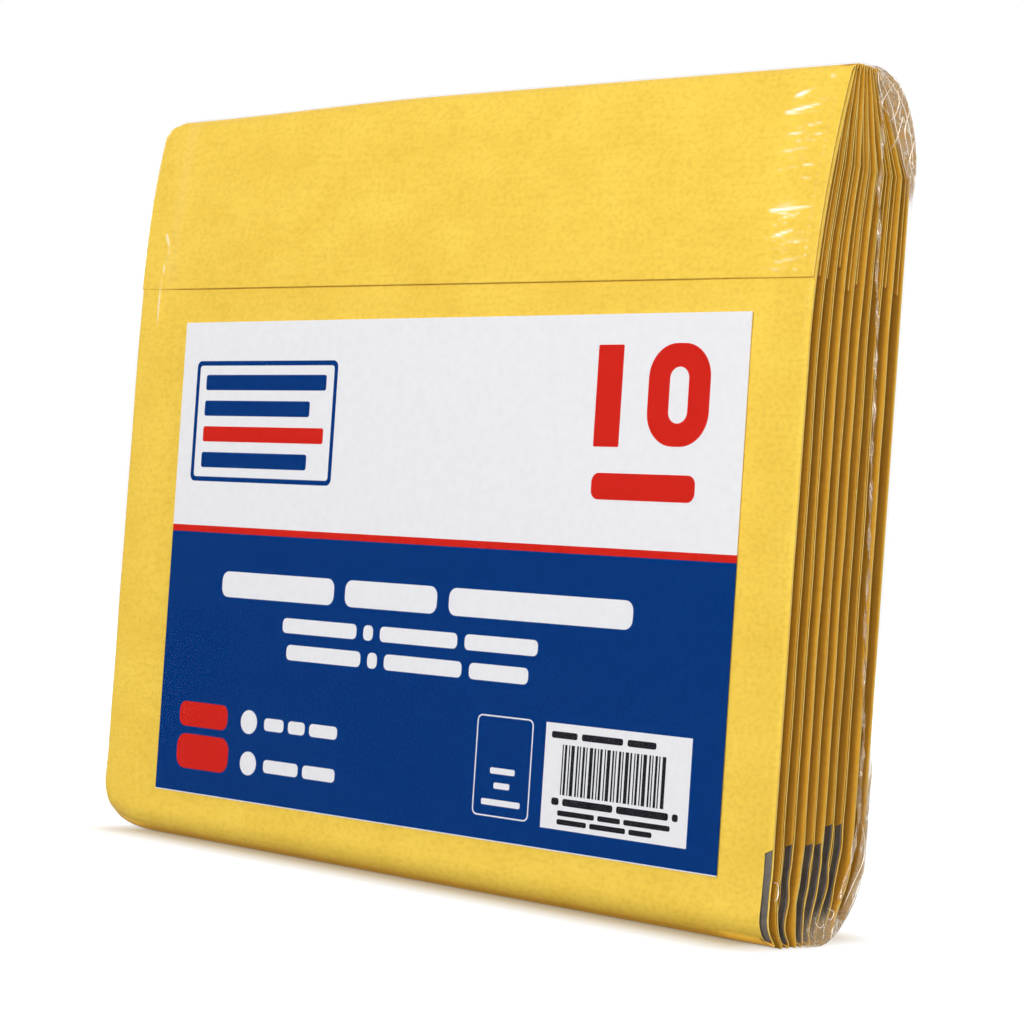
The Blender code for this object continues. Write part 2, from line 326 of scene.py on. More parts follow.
WAVE_SEED = 11
dice = np.random.default_rng(WAVE_SEED)
WAVE_LENGTHS = np.array([95, 47, 26]) * MM
WAVE_SHARES = (1 / 3, 1 / 3, 1 / 3)
WAVE_PHASES = dice.uniform(0, 2 * math.pi, (ENVELOPE_COUNT, 2, 3))
FOOT_WAVE_LENGTHS = np.array([17, 10.5, 6.8]) * MM
FOOT_WAVE_SHARES = (0.55, 0.30, 0.15)
FOOT_WAVE_PHASES = dice.uniform(0, 2 * math.pi, (ENVELOPE_COUNT, 2, 3))
EDGE_INSETS = dice.uniform(0, 0.45, (ENVELOPE_COUNT, 2)) * MM
EDGE_INSETS[0] = 0


def waves(z, lengths, shares, phases):
    parts = enumerate(zip(lengths, shares))
    return sum(share * np.sin(2 * math.pi * z / length + phases[..., k]) for k, (length, share) in parts)


def edge_wave(index, x, z):
    """How far an envelope's loose side edge lies behind its straight place."""
    side = (x > 0).astype(int)
    upper = waves(z, WAVE_LENGTHS, WAVE_SHARES, WAVE_PHASES[index][side])
    foot = waves(z, FOOT_WAVE_LENGTHS, FOOT_WAVE_SHARES, FOOT_WAVE_PHASES[index][side])
    share = unit((np.abs(x) - WAVE_START) / (HALF_WIDTH - WAVE_START)) ** 2
    calm = WAVE_CALM if index in (0, ENVELOPE_COUNT - 1) else 1.0
    foot_size = WAVE_FOOT * ease(27, 12, z) * ease(0, 4, z)
    return share * calm * room(x, z) * (WAVE_UPPER * upper + foot_size * foot)


def set_back(index, x, z):
    """The side seams are thinner than the padded middle, so they lie further back."""
    back = SEAM_SET_BACK + SEAM_SHIFTS[index] * MM
    if index == 0:
        back = back * (x > 0)
    return back * ease(85, 91, np.abs(x)) * room(x, z) + edge_wave(index, x, z)


def pinch(x):
    return unit((np.abs(x) - HALF_WIDTH) / PINCH_WIDTH + 1)


def drawn_forward(index, x, z):
    """The film draws the first sheet to itself below the card and beside it on the left."""
    if index > 0:
        return np.zeros(np.broadcast(x, z).shape)
    return FIRST_SHEET_FORWARD * np.maximum(ease(11, 4, z), ease(85, 95, -x))


def swell(index, x, z):
    """The padded middle presses against the envelope in front of it, below the flap."""
    if index == 0:
        return np.zeros(np.broadcast(x, z).shape)
    across = ease(88, 62, np.abs(x))
    below_flap = smooth(FLAP_EDGE - 4 * MM, FLAP_EDGE - 16 * MM, z)
    return SWELL * across * ease(5, 18, z) * below_flap


def front_layer(index, x, z):
    forward = drawn_forward(index, x, z) + swell(index, x, z)
    return FRONT_LAYER + PINCH_FRONT * pinch(x) + set_back(index, x, z) - forward


def back_layer(index, x, z, inset=0):
    full = slot_width(x, z) - PAPER / 2
    seam = SEAM_BACK_LAYER - PINCH_BACK * pinch(x) + set_back(index, x, z) - drawn_forward(index, x, z)
    seam = np.minimum(seam, full)
    pad = smooth(0, PAD_RAMP, HALF_WIDTH - SEAM - inset - np.abs(x))
    return seam + (full - seam) * pad


def flap_layer(index, x, z):
    """The first flap lies tight at both ends of its edge. The others stand off at the right end."""
    low = FLAP_EDGE + FLAP_ENDS[index] * MM
    tight = 1 - ease(-97, -78, x) * ease(92, 60, x)
    near_edge = smooth(low + 36 * MM, low, z)
    ahead = FRONT_LAYER - PAPER - FLAP_GAP - FLAP_LAYER
    layer = FLAP_LAYER + 0.8 * ahead * tight * near_edge + set_back(index, x, z)
    layer = layer - 0.5 * drawn_forward(index, x, z)
    lift = FLAP_LIFTS[index] * MM * smooth(90 * MM, HALF_WIDTH, x) * smooth(HEIGHT - 8 * MM, low, z)
    return layer - lift * room(x, z)


def narrowed(x, width):
    """Columns pulled in, so that a row ends that much short of the right side edge."""
    share = (HALF_WIDTH - width - NARROWING_START) / (HALF_WIDTH - NARROWING_START)
    return np.where(x > NARROWING_START, NARROWING_START + (x - NARROWING_START) * share, x)


def top_of_fold(index, x):
    """Highest place at which the whole round fold stays under the film."""
    near = slot_front(index, x, HEIGHT)
    radius = slot_width(x, HEIGHT) / 2
    turns = [(crown_height(x, near + radius * (1 - math.cos(a))), 1 - math.sin(a)) for a in FOLD_ANGLES]
    return np.min([crown + radius * below for crown, below in turns], axis=0) - TOP_CLEARANCE


def foot_of_fold(index, x):
    """Lowest place at which the whole round fold stays over the film."""
    z = np.zeros_like(x)
    for _ in range(4):
        near = slot_front(index, x, z) + front_layer(index, x, z) - PAPER / 2
        radius = (slot_front(index, x, z) + back_layer(index, x, z) + PAPER / 2 - near) / 2
        turns = [(foot_height(near + radius * (1 - math.cos(a))), 1 - math.sin(a)) for a in FOLD_ANGLES]
        z = np.max([foot - radius * above for foot, above in turns], axis=0) + PAPER / 2 + FOOT_CLEARANCE
    return z


def sheet_points(index):
    """Rows of one folded sheet, from the flap's free edge over the back and the foot up to the mouth."""
    left, right = EDGE_INSETS[index]
    x = np.where(COLUMNS > 0, narrowed(COLUMNS, right), -narrowed(-COLUMNS, left))
    top = top_of_fold(index, x)
    foot = foot_of_fold(index, x)
    rows = []

    def add(layer, z, xs=x):
        z = np.broadcast_to(z, xs.shape)
        rows.append(place(xs, slot_front(index, xs, z) + layer(index, xs, z), z))

    def add_fold(end, first, second, upward):
        """Rows round a fold, from one layer to the other."""
        start = slot_front(index, x, end) + first(index, x, end)
        half = (second(index, x, end) - first(index, x, end)) / 2
        for angle in FOLD_ANGLES:
            z = end + upward * np.abs(half) * (1 - math.sin(angle))
            rows.append(place(x, start + half * (1 - math.cos(angle)), z))

    low = FLAP_EDGE + FLAP_ENDS[index] * MM * smooth(60 * MM, HALF_WIDTH, x)
    flap_x = np.where(x > 0, narrowed(x, (0.1 + 0.5 * FLAP_LIFTS[index]) * MM), x)
    add(flap_layer, low, flap_x)
    add(flap_layer, low + 0.25 * MM, flap_x)
    for z in TOP_ROWS[TOP_ROWS > FLAP_EDGE + 4 * MM]:
        add(flap_layer, np.minimum(z, top - 0.5 * MM), flap_x)
    add_fold(top, flap_layer, back_layer, -1)
    for z in HEIGHTS[::-1]:
        add(back_layer, np.clip(z, foot + 1.0 * MM, top - 0.6 * MM))
    add_fold(foot, back_layer, front_layer, 1)
    notch_top = NOTCH_HEIGHTS[index] * MM
    short_x = narrowed(x, NOTCH_WIDTH)
    for z in HEIGHTS[HEIGHTS < MOUTH]:
        add(front_layer, np.maximum(z, foot + 1.0 * MM), short_x if z < notch_top else x)
    rise = MOUTH_RISE * ease(86, 95, np.abs(x))
    for share, below in ((0.5, 1.9 * MM), (1.0, 0.9 * MM)):
        add(front_layer, np.minimum(MOUTH + share * (rise + 0.4 * MM), top - below))
    return np.array(rows)


def painted_gap_shade(index, points):
    """Painted shade on the kraft: 0 on the outer faces, rising to 1 where a sheet lies deep between two
    envelopes or underneath, where shade falls.
    """
    x, depth, z = points[..., 0], points[..., 1] - CAD_LOW.y, points[..., 2]
    z = z + corner_drop(x, z)
    under = 0.6 * ease(3.4, 0.4, z)
    if index == 0:
        return under
    deep = 0.5 + 0.36 * smooth(HALF_WIDTH, HALF_WIDTH - GAP_SEEN, np.abs(x))
    deep = deep + 0.14 * ease(128, 155, z)
    top = smooth(HEIGHT - 1.5 * MM, HEIGHT - 3.5 * MM, z)
    top = np.maximum(top, smooth(NARROWING_START, 98 * MM, x))
    deep = deep * top * ease(84, 92, np.abs(x))
    if index == ENVELOPE_COUNT - 1:
        middle = (front_layer(index, x, z) + back_layer(index, x, z)) / 2
        deep = deep * (depth < slot_front(index, x, z) + middle)
    return np.maximum(deep, under)


def make_envelope(index, materials):
    points = sheet_points(index)
    number = f"{index + 1:02d}"
    faces = grid_faces(*points.shape[:2])
    piece = new_piece(f"kraft_sheet_{number}", points, faces, materials, [f"envelope_{number}"])
    # The mesh value gap carries the painted shade
    set_values(piece, "gap", painted_gap_shade(index, points))
    thicken(piece, PAPER, rim_material=1)


def shell_faces(rows, columns):
    """Faces of a closed pad made of two grids of the same size, the first one in front."""
    count = rows * columns
    at = np.arange(count).reshape(rows, columns)
    rim = [*at[0, :], *at[1:, -1], *at[-1, -2::-1], *at[-2:0:-1, 0]]
    sides = [
        (int(rim[i - 1]), int(rim[i]), int(rim[i] + count), int(rim[i - 1] + count)) for i in range(len(rim))
    ]
    front = grid_faces(rows, columns)
    back = [tuple(reversed(face)) for face in grid_faces(rows, columns, count)]
    return [tuple(reversed(face)) for face in front + back] + sides


def make_lining(index, material):
    left, right = EDGE_INSETS[index] + LINING_INSET
    x = np.where(COLUMNS > 0, narrowed(COLUMNS, right), -narrowed(-COLUMNS, left))
    foot = foot_of_fold(index, x) + LINING_ABOVE_FOLD
    front, back = [], []
    for z in [*HEIGHTS[HEIGHTS < LINING_HEAD], LINING_HEAD]:
        z = np.maximum(z, foot)
        start = slot_front(index, x, z)
        behind = back_layer(index, x, z, 1 * MM) - PAPER / 2 - LINING_GAP
        front.append(place(x, start + LINING_FACE + set_back(index, x, z), z))
        back.append(place(x, start + behind, z))
    number = f"{index + 1:02d}"
    faces = shell_faces(len(front), len(x))
    new_piece(f"bubble_pad_{number}", front + back, faces, [material], [f"bubble_lining_{number}"])


def make_liner(index, material):
    x = np.linspace(-LINER_HALF_WIDTH, LINER_HALF_WIDTH, 40)
    rows = []
    for z in np.linspace(LINER_LOW, LINER_HIGH, 9):
        z = np.full_like(x, z)
        depth = (flap_layer(index, x, z) + front_layer(index, x, z)) / 2
        rows.append(place(x, slot_front(index, x, z) + depth, z))
    number = f"{index + 1:02d}"
    faces = grid_faces(len(rows), len(x))
    piece = new_piece(f"peel_liner_{number}", rows, faces, [material], [f"peel_strip_{number}"])
    thicken(piece, LINER)


# Materials
def srgb(red, green, blue):
    """A colour written as 0 to 255 in sRGB, in the renderer's linear numbers."""
    shares = np.array([red, green, blue]) / 255
    linear = np.where(shares <= 0.04045, shares / 12.92, ((shares + 0.055) / 1.055) ** 2.4)
    return (*(float(c) for c in linear), 1.0)


def grey(value):
    return (value, value, value, 1)


class Shading:
    """A tree of shader nodes. Its methods add nodes and return the socket that carries the result."""

    def __init__(self, tree):
        self.nodes = tree.nodes
        self.links = tree.links

    def fill(self, node, values):
        """Sets inputs by name or number. A value that is a socket is linked."""
        for key, value in values.items():
            if isinstance(value, bpy.types.NodeSocket):
                self.links.new(value, node.inputs[key])
            else:
                node.inputs[key].default_value = value

    def add(self, kind, values, result=0, **settings):
        node = self.nodes.new(f"ShaderNode{kind}")
        for name, setting in settings.items():
            setattr(node, name, setting)
        self.fill(node, values)
        return node.outputs[result]

    def math(self, operation, *values, clamp=False):
        return self.add("Math", dict(enumerate(values)), operation=operation, use_clamp=clamp)

    def mesh_value(self, name):
        return self.add("Attribute", {}, "Fac", attribute_name=name)

    def noise(self, scale, detail=3.0, stretch=(1, 1, 1)):
        """Noise over the object's own metres. The stretch makes it finer along an axis."""
        spot = self.add("Mapping", {"Vector": self.add("TexCoord", {}, "Object"), "Scale": stretch})
        return self.add("TexNoise", {"Vector": spot, "Scale": scale, "Detail": detail}, "Fac")

    def thin_lines(self, scale, width, stretch):
        """Fine curling lines, where a smooth noise passes its middle value."""
        off = self.math("ABSOLUTE", self.math("SUBTRACT", self.noise(scale, 1.5, stretch), 0.5))
        return self.math("MULTIPLY_ADD", off, -1 / width, 1.0, clamp=True)

    def ramp(self, source, *stops):
        """A colour that follows the source. Each stop is a value and its colour."""
        node = self.nodes.new("ShaderNodeValToRGB")
        self.links.new(source, node.inputs["Fac"])
        elements = node.color_ramp.elements
        elements[0].position, elements[0].color = stops[0]
        elements[1].position, elements[1].color = stops[-1]
        for value, colour in stops[1:-1]:
            elements.new(value).color = colour
        return node.outputs["Color"]

    def mix(self, kind, factor, first, second):
        values = {"Factor": factor, "A": first, "B": second}
        return self.add("Mix", values, "Result", data_type="RGBA", blend_type=kind)

    def multiply(self, first, second):
        return self.mix("MULTIPLY", 1.0, first, second)

    def over(self, share, below, above):
        """One surface, but for a share of another."""
        return self.add("MixShader", {0: share, 1: below, 2: above})

    def seen_directly(self):
        """1 for what the camera sees, straight or through gloss and clear film, and 0 for light on things."""
        path = self.nodes.new("ShaderNodeLightPath").outputs
        seen = self.math("MAXIMUM", path["Is Camera Ray"], path["Is Glossy Ray"])
        return self.math("MAXIMUM", seen, path["Is Transmission Ray"])


def new_material(name):
    material = bpy.data.materials.new(name)
    material.use_nodes = True
    shading = Shading(material.node_tree)
    return material, shading, shading.nodes["Principled BSDF"]


def toned_material(name, noise, dark, light, values):
    """One colour with a faint mottle. Dark and light are stops of its ramp."""
    material, shading, shader = new_material(name)
    shading.fill(shader, {"Base Color": shading.ramp(shading.noise(*noise), dark, light), **values})
    return material


# Painted shade: light that bounces between two sheets of kraft comes out deeper and more orange, and these
# colours paint that shade into the kraft between the sheets and under the foot
NO_TINT = grey(1)
PAINTED_SHADE_EDGE = (0.90, 0.66, 0.30, 1)
PAINTED_SHADE_DEEP = (0.58, 0.40, 0.08, 1)
PAINTED_SHADE_DARKEST = (0.36, 0.245, 0.05, 1)
LAID_LINES = (0.98, 0.975, 0.96, 1)
FIBRES = (0.925, 0.90, 0.84, 1)


def kraft_material():
    material, shading, shader = new_material("kraft_paper")
    cloud = shading.noise(75, 5, (1, 1, 1.2))
    laid = shading.noise(160, 2, (0.7, 0.7, 7))
    fibre = shading.noise(1000, 4, (0.9, 0.9, 1.2))
    gap = shading.mesh_value("gap")
    colour = shading.ramp(cloud, (0.28, srgb(243, 203, 77)), (0.72, srgb(250, 213, 87)))
    colour = shading.multiply(colour, shading.ramp(laid, (0.40, LAID_LINES), (0.56, NO_TINT)))
    colour = shading.multiply(colour, shading.ramp(fibre, (0.34, FIBRES), (0.55, NO_TINT)))
    # Painted shade from the mesh's gap value: deeper, darker and more orange between the envelopes and under
    # the foot
    painted_shade = shading.ramp(gap, (0, NO_TINT), (0.5, PAINTED_SHADE_EDGE), (0.86, PAINTED_SHADE_DEEP), (1, PAINTED_SHADE_DARKEST))
    colour = shading.multiply(colour, painted_shade)
    normal = shading.add("Bump", {"Height": fibre, "Strength": 0.15, "Distance": 0.0001})
    values = {"Base Color": colour, "Roughness": 0.62, "Specular IOR Level": 0.08, "Normal": normal}
    shading.fill(shader, values)
    return material


def cut_edge_material():
    """The cut edge of the paper, where its paler inside shows."""
    stops = (0.35, srgb(255, 210, 98)), (0.65, srgb(255, 230, 132))
    return toned_material("kraft_cut_edge", (900, 2), *stops, {"Roughness": 0.8})


def lining_material():
    """Dark grey film with round bubbles about 10 mm across."""
    material, shading, shader = new_material("bubble_film")
    smudge = shading.noise(400, 3)
    place_at = shading.add("TexCoord", {}, "Object")
    cells = shading.add("TexVoronoi", {"Vector": place_at, "Scale": 105, "Randomness": 0.15}, "Distance")
    normal = shading.add("Bump", {"Height": cells, "Strength": 0.5, "Distance": 0.001})
    colour = shading.ramp(smudge, (0.3, srgb(80, 75, 70)), (0.7, srgb(110, 103, 95)))
    shading.fill(shader, {"Base Color": colour, "Roughness": 0.42, "Normal": normal})
    return material


def liner_material():
    stops = (0.3, srgb(228, 227, 222)), (0.7, srgb(240, 239, 235))
    return toned_material("silicone_liner", (120, 2), *stops, {"Roughness": 0.35})


# Inks and the card: satin, with a faint mottle between a darker and a lighter tone
INK_NOISE = (500, 3)
SATIN = {"Roughness": 0.5, "Specular IOR Level": 0.0}
WHITE_INK = ((0.3, srgb(234, 234, 237)), (0.7, srgb(238, 238, 241)))
RED_INK = ((0.3, srgb(207, 34, 24)), (0.7, srgb(213, 39, 28)))
BLUE_INK = ((0.3, srgb(2, 51, 120)), (0.7, srgb(6, 56, 126)))
BLACK_INK = ((0.3, srgb(30, 30, 36)), (0.7, srgb(40, 40, 46)))


def ink_materials():
    inks = {"white": WHITE_INK, "red": RED_INK, "blue": BLUE_INK, "black": BLACK_INK}
    return [toned_material(f"ink_{name}", INK_NOISE, *ink, SATIN) for name, ink in inks.items()]


def label_material():
    """The card: a white edge, a blue field, a red stripe and a white field, one above the other.

    Heights are counted from the card's centre, along its slightly turned side edges.
    """
    material, shading, shader = new_material("label_card")
    tone = shading.noise(*INK_NOISE)
    blue, red, white = (shading.ramp(tone, *ink) for ink in (BLUE_INK, RED_INK, WHITE_INK))
    centre = (LABEL_CENTRE[0], 0, LABEL_CENTRE[1])
    frame_of_card = {"Location": centre, "Rotation": (0, -LABEL_TURN, 0)}
    spot = {"Vector": shading.add("TexCoord", {}, "Object"), **frame_of_card}
    height = {"Vector": shading.add("Mapping", spot, vector_type="TEXTURE")}
    height = shading.add("SeparateXYZ", height, "Z")
    colour = white
    fields = ((LABEL_PRINT_LOW, blue), (LABEL_STRIPE_LOW, red), (LABEL_STRIPE_HIGH, white))
    for low_edge, field in fields:
        colour = shading.mix("MIX", shading.math("GREATER_THAN", height, low_edge), colour, field)
    shading.fill(shader, {"Base Color": colour, **SATIN})
    return material


FILM_GLOSS = {"Roughness": 0.08}
# Gloss and colours of the white bloom that paints highlights on the film where the mesh says so
SHEEN_ROUGHNESS = 0.45
SMOOTH_SHEEN = (0.95, 0.94, 0.92, 1)
GATHERED_SHEEN = (0.96, 0.92, 0.84, 1)
FOLDED_FILM = srgb(194, 148, 50)
FILM_SHADE = grey(0.97)


def film_gloss(shading):
    """Share of gloss on clear film: hardly any straight on, more at a grazing angle."""
    facing = shading.add("LayerWeight", {"Blend": 0.5}, "Facing")
    return shading.math("MULTIPLY_ADD", shading.math("POWER", facing, 5), 0.20, 0.002)


def lay_film(shading, layers):
    """Clear film with layers over it, each a share and a surface. Lamps shine through all of it."""
    surface = shading.add("BsdfTransparent", {})
    for share, layer in layers:
        surface = shading.over(share, surface, layer)
    plain = shading.add("BsdfTransparent", {"Color": FILM_SHADE})
    surface = shading.over(shading.add("LightPath", {}, "Is Shadow Ray"), surface, plain)
    shading.fill(shading.nodes["Material Output"], {"Surface": surface})


def smooth_film_material():
    """Clear film that lies flat. The mesh's sheen value lays a white bloom on it, a painted highlight on its
    creases and crimps.
    """
    material, shading, shader = new_material("clear_film")
    shading.nodes.remove(shader)
    gloss = shading.add("BsdfAnisotropic", FILM_GLOSS)
    white = shading.add("BsdfAnisotropic", {"Color": SMOOTH_SHEEN, "Roughness": SHEEN_ROUGHNESS})
    lay_film(shading, ((film_gloss(shading), gloss), (shading.mesh_value("painted_sheen"), white)))
    return material


def gathered_film_material():
    """Film that the mesh's crumple gathers: golden, and with a net of fine pale folds. The pale folds and the
    mesh's white bloom are painted highlights.
    """
    material, shading, warm = new_material("gathered_film")
    crumple = shading.mesh_value("crumple")
    coarse = shading.thin_lines(120, 0.012, (1, 1.9, 0.8))
    fine = shading.thin_lines(330, 0.020, (1, 1.3, 0.9))
    lines = shading.math("MAXIMUM", coarse, fine)
    # Painted glints along the fine fold lines
    vein_glints = shading.math("MULTIPLY", shading.math("MULTIPLY", lines, crumple), 0.45)
    ripple = shading.math("MULTIPLY_ADD", lines, 0.6, shading.noise(90, 2))
    strength = shading.math("MULTIPLY_ADD", crumple, 0.8, 0.12)
    normal = {"Normal": shading.add("Bump", {"Height": ripple, "Strength": strength, "Distance": 0.001})}
    gloss = shading.add("BsdfAnisotropic", {**FILM_GLOSS, **normal})
    white = shading.add("BsdfAnisotropic", {"Color": GATHERED_SHEEN, "Roughness": SHEEN_ROUGHNESS, **normal})
    shading.fill(warm, {"Base Color": FOLDED_FILM, "Roughness": 0.2, **normal})
    reach = {"From Min": 0.35, "From Max": 0.65, "To Min": 0.25, "To Max": 0.65}
    golden = shading.add("MapRange", {"Value": shading.noise(260, 3), **reach}, "Result")
    layers = (
        (shading.math("MULTIPLY_ADD", crumple, 0.10, film_gloss(shading)), gloss),
        (shading.math("MULTIPLY", crumple, golden), warm.outputs["BSDF"]),
        (shading.math("MAXIMUM", shading.mesh_value("painted_sheen"), vein_glints), white),
    )
    lay_film(shading, layers)
    return material


# Film wrap
STREAKS = (
    # left end x, height there, right end x, height there, thickness, strength of the crease and its painted
    # glint
    (88.0, 167.9, 91.8, 169.1, 0.55, 1.0),
    (86.1, 164.5, 95.6, 166.2, 0.42, 0.9),
    (86.3, 164.3, 92.5, 164.6, 0.30, 0.5),
    (95.5, 171.9, 98.1, 171.5, 0.35, 0.6),
    (92.7, 161.5, 96.8, 162.2, 0.28, 0.5),
    (88.1, 159.8, 93.1, 160.4, 0.35, 0.6),
    (94.5, 159.5, 97.3, 159.8, 0.25, 0.5),
    (87.1, 156.3, 95.2, 157.2, 0.35, 0.4),
    (93.3, 153.3, 97.0, 153.6, 0.30, 0.5),
    (93.4, 151.0, 96.6, 150.6, 0.30, 0.4),
    (87.3, 144.4, 98.1, 144.9, 0.42, 0.9),
    (87.6, 144.2, 95.0, 143.2, 0.30, 0.6),
    (90.2, 142.5, 96.0, 144.0, 0.30, 0.5),
    (89.1, 139.0, 94.9, 140.5, 0.38, 0.8),
    (89.4, 138.9, 93.0, 138.9, 0.25, 0.5),
    (94.2, 137.7, 97.6, 138.2, 0.28, 0.5),
    (90.3, 133.8, 97.6, 134.8, 0.35, 0.4),
    (-93.2, 144.9, -91.2, 140.8, 0.45, 0.8),
    (-91.3, 140.6, -91.9, 137.2, 0.25, 0.5),
    (-92.0, 138.6, -92.9, 131.8, 0.25, 0.6),
    (-92.9, 131.6, -92.8, 121.8, 0.25, 0.6),
    (-94.5, 168.0, -92.6, 158.0, 0.25, 0.15),
    (88.2, 41.5, 90.6, 43.6, 0.22, 0.25),
    (92.0, 58.8, 94.6, 60.6, 0.22, 0.25),
)
SMALL_STREAKS = 46
STREAK_SEED = 5
CRIMP_X = 98.0 * MM
CRIMP_LOW = 133 * MM
CRIMP_HIGH = 171.5 * MM
CRIMP_PITCH = 1.45 * MM
LEFT_BAND_X = 89.5 * MM
FILM_DEPTHS = 27
CREASE_DEPTH = 0.10 * MM
RIPPLE = 0.25 * MM
FILM_SLACK = 0.5 * MM
BAND_SHEEN = 0.016


def small_streaks():
    """Fine creases that fan out from the crimps, in two groups with a quieter stretch between them."""
    chance = np.random.default_rng(STREAK_SEED)
    for number in range(SMALL_STREAKS):
        height = chance.uniform(152, 172) if number % 2 else chance.uniform(132.5, 148)
        right = chance.uniform(92.5, 98)
        length = chance.uniform(2.0, 7.5)
        fall = length * chance.uniform(-0.02, 0.24)
        thickness, strength = chance.uniform(0.14, 0.26), chance.uniform(0.08, 0.34)
        yield right - length, height - fall, right, height, thickness, strength


def streak_shape(x, z):
    """Pointed creases in the film over the flap, from 0 to 1. Each is pressed in and carries a painted white
    glint.
    """
    total = np.zeros(np.broadcast(x, z).shape)
    for x0, z0, x1, z1, thick, strength in [*STREAKS, *small_streaks()]:
        run = np.array([x1 - x0, z1 - z0]) * MM
        length = np.hypot(*run)
        along = ((x - x0 * MM) * run[0] + (z - z0 * MM) * run[1]) / length**2
        off = ((z - z0 * MM) * run[0] - (x - x0 * MM) * run[1]) / length
        inside = (along > 0) & (along < 1)
        taper = np.sqrt(unit(along) * (1 - unit(along)) * 4)
        brightness = strength * taper * (1.15 - 0.6 * unit(along))
        wide = 0.7 * thick * MM * (0.25 + 0.75 * taper)
        total = np.maximum(total, np.where(inside, brightness * np.exp(-((off / wide) ** 2)), 0))
    return total


def crimp_shape(x, z):
    """A dotted line of small crimps beside the right side edge, stronger in some places."""
    line = np.exp(-(((x - CRIMP_X) / (0.22 * MM)) ** 2))
    dots = unit(np.sin(2 * math.pi * z / CRIMP_PITCH))
    patchy = 0.25 + 0.75 * unit(sine(z, 4.1) + 0.6 * np.sin(z / (1.9 * MM) + 1))
    inside = smooth(CRIMP_LOW, CRIMP_LOW + 4 * MM, z) * smooth(CRIMP_HIGH + 1 * MM, CRIMP_HIGH - 1 * MM, z)
    lower = 0.35 + 0.65 * ease(156, 148, z)
    return 0.85 * line * dots * inside * patchy * lower


def film_crumple(x, depth, z):
    """1 where the film is gathered: the rear corners of both side faces, above and below."""
    beyond = depth - rear_depth(z)
    top = ease(-3.0, 0.5, beyond) * ease(148, 157, z)
    foot = ease(-2.6, 0.6, beyond) * ease(42, 20, z)
    under = ease(8, 2, z) * ease(10, 20, depth)
    return np.maximum(np.maximum(top, foot), under) * ease(93, 99.5, np.abs(x))


def rounding(gap, radius):
    """How far a rounded edge lies inside a sharp one, at a distance from the edge."""
    return radius - np.sqrt(np.maximum(0, radius**2 - np.maximum(0, radius - gap) ** 2))


def film_columns():
    left = [[0, 0.15, 0.4, 0.8], np.arange(1.4, 6, 0.9), np.arange(6.4, 11, 0.5), np.arange(11.6, 30, 1.9)]
    left = np.concatenate(left)
    middle = np.arange(-68, 74, 6.5) * MM
    right = np.concatenate([[0, 0.15, 0.4, 0.8], np.arange(1.2, 17, 0.3), np.arange(17, 26, 1.5)])
    return np.concatenate([left * MM - FILM_HALF_WIDTH, middle, FILM_HALF_WIDTH - right[::-1] * MM])


def film_levels():
    turn = np.radians(np.linspace(0, 90, 9))
    foot = FILM_FOOT_RADIUS * (1 - np.cos(turn))
    shoulder = FILM_HEIGHT - FILM_SHOULDER * (1 - np.sin(turn))
    side = np.concatenate([np.arange(8.5, 121, 4), np.arange(121, 132, 1.4), np.arange(132, 170.9, 0.39)])
    return np.concatenate([foot, side * MM, shoulder])


def make_film(smooth_film, gathered_film):
    """A closed wrap: a box of fine faces whose every level follows the stack's front and rear."""
    us, vs, ws = film_columns(), film_levels(), np.linspace(0, 1, FILM_DEPTHS)
    shape = (len(us), len(vs), len(ws))
    inner = np.zeros(shape, bool)
    inner[1:-1, 1:-1, 1:-1] = True
    number = np.full(shape, -1)
    number[~inner] = np.arange(np.count_nonzero(~inner))
    i, j, k = np.nonzero(~inner)
    x, z, share = us[i], vs[j], ws[k]
    curl = rounding(FILM_HALF_WIDTH - np.abs(x), FILM_EDGE_RADIUS)
    crease = np.where(k == 0, unit(streak_shape(x, z) + crimp_shape(x, z)), 0)
    front = film_front(x, z) + curl
    rear = film_rear(x, z) - curl
    depth = front + (rear - front) * share - CREASE_DEPTH * crease
    crumple = film_crumple(x, depth, z)
    ripple = np.abs(np.sin(depth / (1.3 * MM) + 2 * sine(z, 5))) - 0.5
    x = x + np.sign(x) * RIPPLE * crumple * ripple
    points = place(x, depth, z - FILM_SLACK * smooth(170 * MM, FILM_HEIGHT, z))
    # Painted sheen: white glints on the creases and crimps, and a faint pale band along the left crease
    band = BAND_SHEEN * np.exp(-(((x + LEFT_BAND_X) / (2.2 * MM)) ** 2)) * ease(125, 137, z)
    painted_sheen = unit(0.72 * crease**1.8 + 0.12 * crease + np.where(k == 0, band, 0))
    quads = []
    for axis in range(3):
        for side in (0, -1):
            face = np.take(number, side, axis=axis)
            corners = [face[:-1, :-1], face[1:, :-1], face[1:, 1:], face[:-1, 1:]]
            outward = (axis == 1) == (side == 0)
            quads.append(np.stack(corners if outward else corners[::-1], axis=-1).reshape(-1, 4))
    faces = [tuple(int(v) for v in quad) for quad in np.concatenate(quads)]
    film = new_piece("film_wrap", points, faces, [smooth_film, gathered_film], ["shrink_film"])
    gathered = crumple[np.array(faces)].max(axis=1) > 0.01
    film.data.polygons.foreach_set("material_index", gathered.astype(int))
    set_values(film, "painted_sheen", painted_sheen)
    set_values(film, "crumple", crumple)
    thicken(film, FILM, -1)


